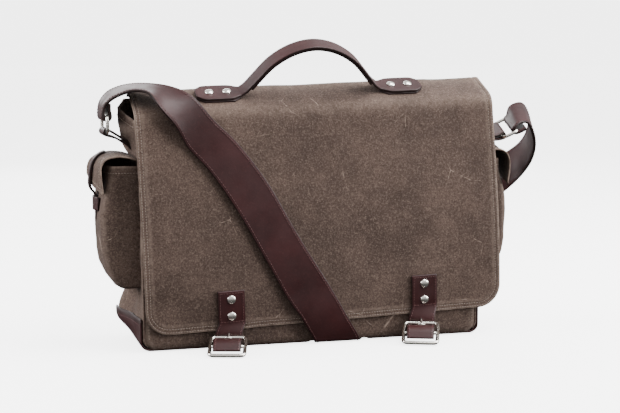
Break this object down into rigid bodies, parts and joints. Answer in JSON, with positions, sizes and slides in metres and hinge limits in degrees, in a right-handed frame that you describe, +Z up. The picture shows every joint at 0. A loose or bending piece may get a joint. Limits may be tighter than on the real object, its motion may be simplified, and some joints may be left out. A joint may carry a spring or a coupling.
{
  "type": "satchel bag",
  "caption": "Soft canvas satchel with a full front flap, carry handle, shoulder strap across the body, side pockets and buckled leather closure tabs.",
  "frame": {"origin": "on the floor under the middle of the leather base", "axes": "+X along the width to the bag's right as seen from the front, -Y out of the front flap, +Z up"},
  "size_m": [0.5691, 0.1842, 0.358],
  "materials": {
    "waxed_canvas": "waxed taupe cotton canvas, matte, rubbed paler at folds and hems",
    "canvas_lining": "plain dark woven cotton",
    "brown_leather": "smooth dark brown bridle leather, semi-gloss, burnished edges",
    "nickel_hardware": "polished warm nickel plate",
    "base_board": "stiff fibre board"
  },
  "bodies": {
    "bag": {"front_panel": "waxed_canvas", "back_panel": "waxed_canvas", "left_gusset": "waxed_canvas", "right_gusset": "waxed_canvas", "base_panel": "brown_leather", "base_stiffener": "base_board", "inner_slip_pocket": "canvas_lining", "shoulder_strap_long": "brown_leather", "shoulder_strap_short": "brown_leather", "adjuster_frame": "nickel_hardware", "left_buckle_anchor": "brown_leather", "left_ring_tab": "brown_leather", "left_pocket_body": "waxed_canvas", "left_pocket_keeper": "brown_leather", "right_buckle_anchor": "brown_leather", "right_ring_tab": "brown_leather", "right_pocket_body": "waxed_canvas", "right_pocket_keeper": "brown_leather"},
    "flap": {"flap_outer": "waxed_canvas", "flap_lining": "canvas_lining", "handle_strap": "brown_leather", "handle_grip_lining": "brown_leather", "left_handle_plate": "brown_leather", "left_handle_backing_plate": "brown_leather", "left_handle_rivet_a": "nickel_hardware", "left_handle_rivet_b": "nickel_hardware", "left_closure_tab": "brown_leather", "left_tab_eyelet": "nickel_hardware", "left_tab_rivet_upper": "nickel_hardware", "left_tab_rivet_lower": "nickel_hardware", "right_handle_plate": "brown_leather", "right_handle_backing_plate": "brown_leather", "right_handle_rivet_a": "nickel_hardware", "right_handle_rivet_b": "nickel_hardware", "right_closure_tab": "brown_leather", "right_tab_eyelet": "nickel_hardware", "right_tab_rivet_upper": "nickel_hardware", "right_tab_rivet_lower": "nickel_hardware"},
    "left_pocket_lid": {"left_pocket_flap": "waxed_canvas", "left_pocket_tab": "brown_leather"},
    "right_pocket_lid": {"right_pocket_flap": "waxed_canvas", "right_pocket_tab": "brown_leather"},
    "left_strap_ring": {"left_ring": "nickel_hardware"},
    "right_strap_ring": {"right_ring": "nickel_hardware"},
    "left_buckle": {"left_buckle_frame": "nickel_hardware"},
    "right_buckle": {"right_buckle_frame": "nickel_hardware"},
    "left_tongue": {"left_buckle_prong": "nickel_hardware"},
    "right_tongue": {"right_buckle_prong": "nickel_hardware"},
    "adjuster_tongue": {"adjuster_prong": "nickel_hardware"}
  },
  "joints": [
    {"name": "flap_hinge", "type": "hinge", "parent": "bag", "child": "flap", "pos_m": [0.00613, 0.014, 0.29941], "axis": [-0.9994, 0, -0.0349], "range_deg": [0, 200], "deforming": ["left_closure_tab", "left_tab_eyelet", "right_closure_tab", "right_tab_eyelet"]},
    {"name": "left_pocket_hinge", "type": "hinge", "parent": "bag", "child": "left_pocket_lid", "pos_m": [-0.2083, -0.002, 0.2235], "axis": [0, 1, 0], "range_deg": [0, 30], "deforming": ["left_pocket_tab"]},
    {"name": "right_pocket_hinge", "type": "hinge", "parent": "bag", "child": "right_pocket_lid", "pos_m": [0.2083, -0.002, 0.2235], "axis": [0, -1, 0], "range_deg": [0, 15], "deforming": ["right_pocket_tab"]},
    {"name": "left_ring_hinge", "type": "hinge", "parent": "bag", "child": "left_strap_ring", "pos_m": [-0.238, 0, 0.2515], "axis": [0, 1, 0], "range_deg": [-12, 12], "deforming": ["shoulder_strap_long"]},
    {"name": "right_ring_hinge", "type": "hinge", "parent": "bag", "child": "right_strap_ring", "pos_m": [0.25561, 0.00486, 0.24433], "axis": [0.165, 0.952, 0.258], "range_deg": [-12, 12], "deforming": ["shoulder_strap_short"]},
    {"name": "left_buckle_swing", "type": "hinge", "parent": "bag", "child": "left_buckle", "pos_m": [-0.1128, -0.0855, 0.0093], "axis": [-0.9613, 0.2756, 0], "range_deg": [0, 8]},
    {"name": "right_buckle_swing", "type": "hinge", "parent": "bag", "child": "right_buckle", "pos_m": [0.121, -0.0843, 0.0118], "axis": [-0.9272, 0.3746, 0], "range_deg": [0, 8]},
    {"name": "left_prong_hinge", "type": "hinge", "parent": "left_buckle", "child": "left_tongue", "pos_m": [-0.1128, -0.0855, 0.0093], "axis": [0.9613, -0.2756, 0], "range_deg": [0, 100]},
    {"name": "right_prong_hinge", "type": "hinge", "parent": "right_buckle", "child": "right_tongue", "pos_m": [0.121, -0.0843, 0.0118], "axis": [0.9272, -0.3746, 0], "range_deg": [0, 100]},
    {"name": "adjuster_prong_hinge", "type": "hinge", "parent": "bag", "child": "adjuster_tongue", "pos_m": [0.1445, 0.06415, 0.075], "axis": [0.8192, 0, -0.5735], "range_deg": [0, 60]}
  ]
}
